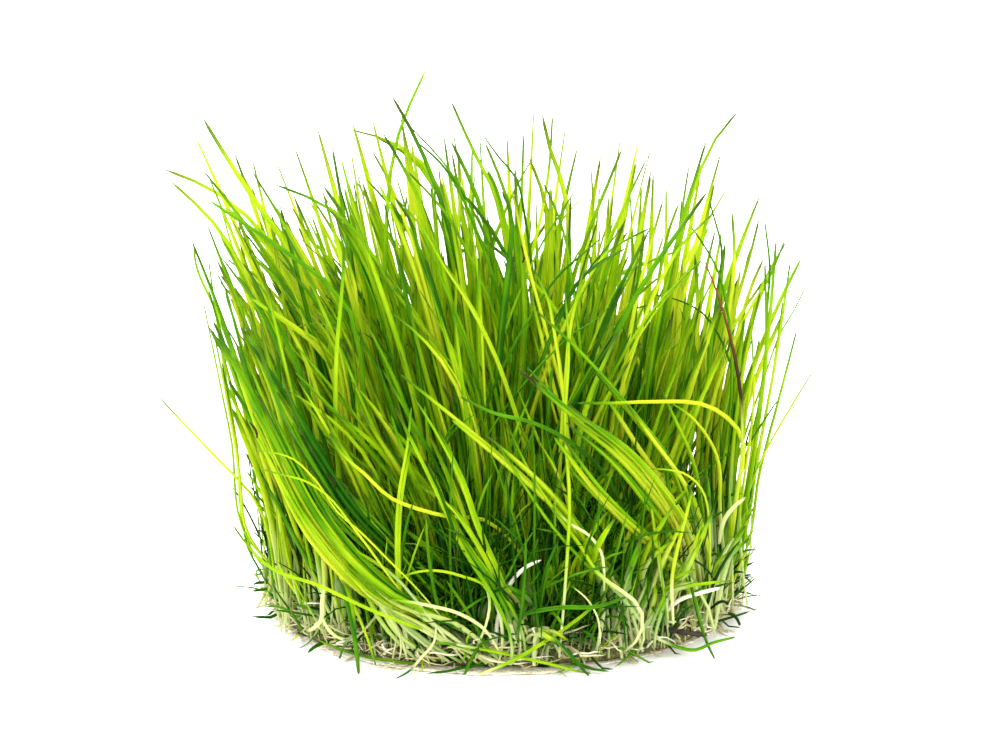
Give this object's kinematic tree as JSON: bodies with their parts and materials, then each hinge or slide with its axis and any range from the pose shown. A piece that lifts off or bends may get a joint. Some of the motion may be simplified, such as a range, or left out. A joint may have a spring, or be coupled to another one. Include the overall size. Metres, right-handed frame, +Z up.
{
  "type": "dwarf hairgrass plug",
  "caption": "Round plug of dwarf hairgrass: a flat disc of matted roots with dense tufts of thin, upright green leaves that lean out over its rim, as a low carpet plant for an aquarium.",
  "frame": {"origin": "middle of the root mat's flat underside", "axes": "+Z up, the way the leaves grow; -Y towards the side that the picture shows; +X to its right"},
  "size_m": [0.0873, 0.0728, 0.074],
  "materials": {
    "leaf_green": "smooth, slightly glossy, living leaf",
    "leaf_yellow_green": "smooth, slightly glossy, young leaf",
    "root_cream": "matted fibre, damp",
    "runner_white": "smooth, waxy",
    "dead_brown": "dry, matte",
    "old_stem_brown": "rough, dark, damp"
  },
  "bodies": {
    "root": {"dead_leaf": "dead_brown", "old_stem": "old_stem_brown", "root_mat": "root_cream", "runner_back": "runner_white", "runner_front": "runner_white", "runner_left": "runner_white", "runner_right": "runner_white", "tuft_01": "leaf_green", "tuft_02": "leaf_green", "tuft_03": "leaf_green", "tuft_04": "leaf_green", "tuft_05": "leaf_green", "tuft_06": "leaf_green", "tuft_07": "leaf_green", "tuft_08": "leaf_green", "tuft_09": "leaf_green", "tuft_10": "leaf_green", "tuft_11": "leaf_green", "tuft_12": "leaf_green", "tuft_13": "leaf_green", "tuft_14": "leaf_green", "tuft_15": "leaf_green", "tuft_16": "leaf_green", "tuft_17": "leaf_green", "tuft_18": "leaf_green", "tuft_19": "leaf_green", "tuft_20": "leaf_green", "tuft_21": "leaf_green", "tuft_22": "leaf_green", "tuft_23": "leaf_green", "tuft_24": "leaf_green", "tuft_25": "leaf_green", "tuft_26": "leaf_green", "tuft_27": "leaf_green", "tuft_28": "leaf_green", "tuft_29": "leaf_green", "tuft_30": "leaf_green", "tuft_31": "leaf_green", "tuft_32": "leaf_green", "tuft_33": "leaf_green", "tuft_34": "leaf_green", "tuft_35": "leaf_green", "tuft_arch_right": "leaf_yellow_green", "tuft_crossed_left": "leaf_green", "tuft_fallen_left": "leaf_yellow_green", "tuft_fork_middle": "leaf_green", "tuft_front_middle": "leaf_yellow_green", "tuft_front_right": "leaf_green", "tuft_rim_left": "leaf_green", "tuft_rim_right": "leaf_green", "tuft_shoulder_back": "leaf_green", "tuft_shoulder_left": "leaf_green", "tuft_slant_right": "leaf_green", "tuft_spike_middle": "leaf_green", "tuft_sweep_left": "leaf_yellow_green", "tuft_sweep_right": "leaf_yellow_green", "tuft_tall_left": "leaf_green", "tuft_tall_right": "leaf_green"}
  },
  "joints": []
}
